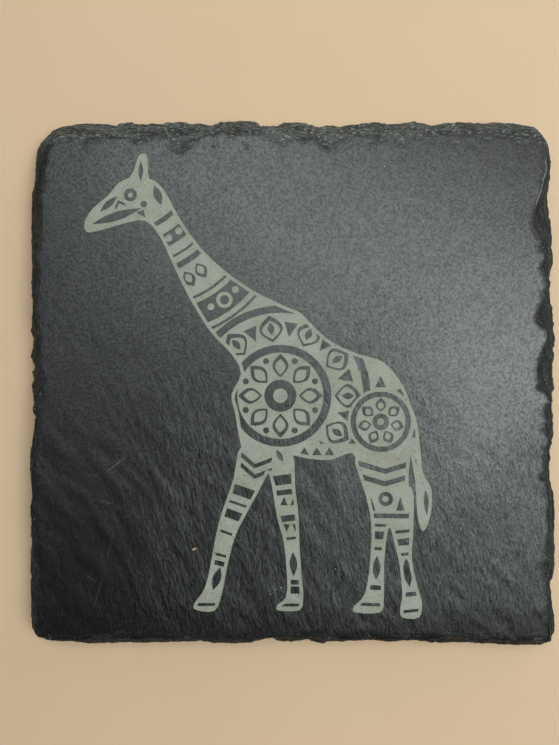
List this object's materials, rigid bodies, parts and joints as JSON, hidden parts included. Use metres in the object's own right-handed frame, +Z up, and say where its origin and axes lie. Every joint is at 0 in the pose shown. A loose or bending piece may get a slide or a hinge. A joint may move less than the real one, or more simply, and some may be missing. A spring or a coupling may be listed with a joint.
{
  "type": "engraved slate coaster",
  "caption": "Square riven slate coaster with rough dressed edges, a pale laser-marked giraffe in its face and stick-on foam feet.",
  "frame": {"origin": "on the table under the middle of the tile, at the undersides of the feet", "axes": "+Z up out of the engraved face, +Y towards the top of the picture, +X towards the right of the picture"},
  "size_m": [0.1, 0.1, 0.007],
  "materials": {
    "slate": "riven, satin",
    "engraved_slate": "fused, matte",
    "foam": "closed-cell, matte",
    "adhesive": "clear film"
  },
  "bodies": {
    "root": {"slate_tile": "slate", "laser_mark": "engraved_slate", "foot_pad_front_left": "foam", "foot_pad_front_right": "foam", "foot_pad_back_left": "foam", "foot_pad_back_right": "foam", "pad_adhesive_front_left": "adhesive", "pad_adhesive_front_right": "adhesive", "pad_adhesive_back_left": "adhesive", "pad_adhesive_back_right": "adhesive"}
  },
  "joints": []
}
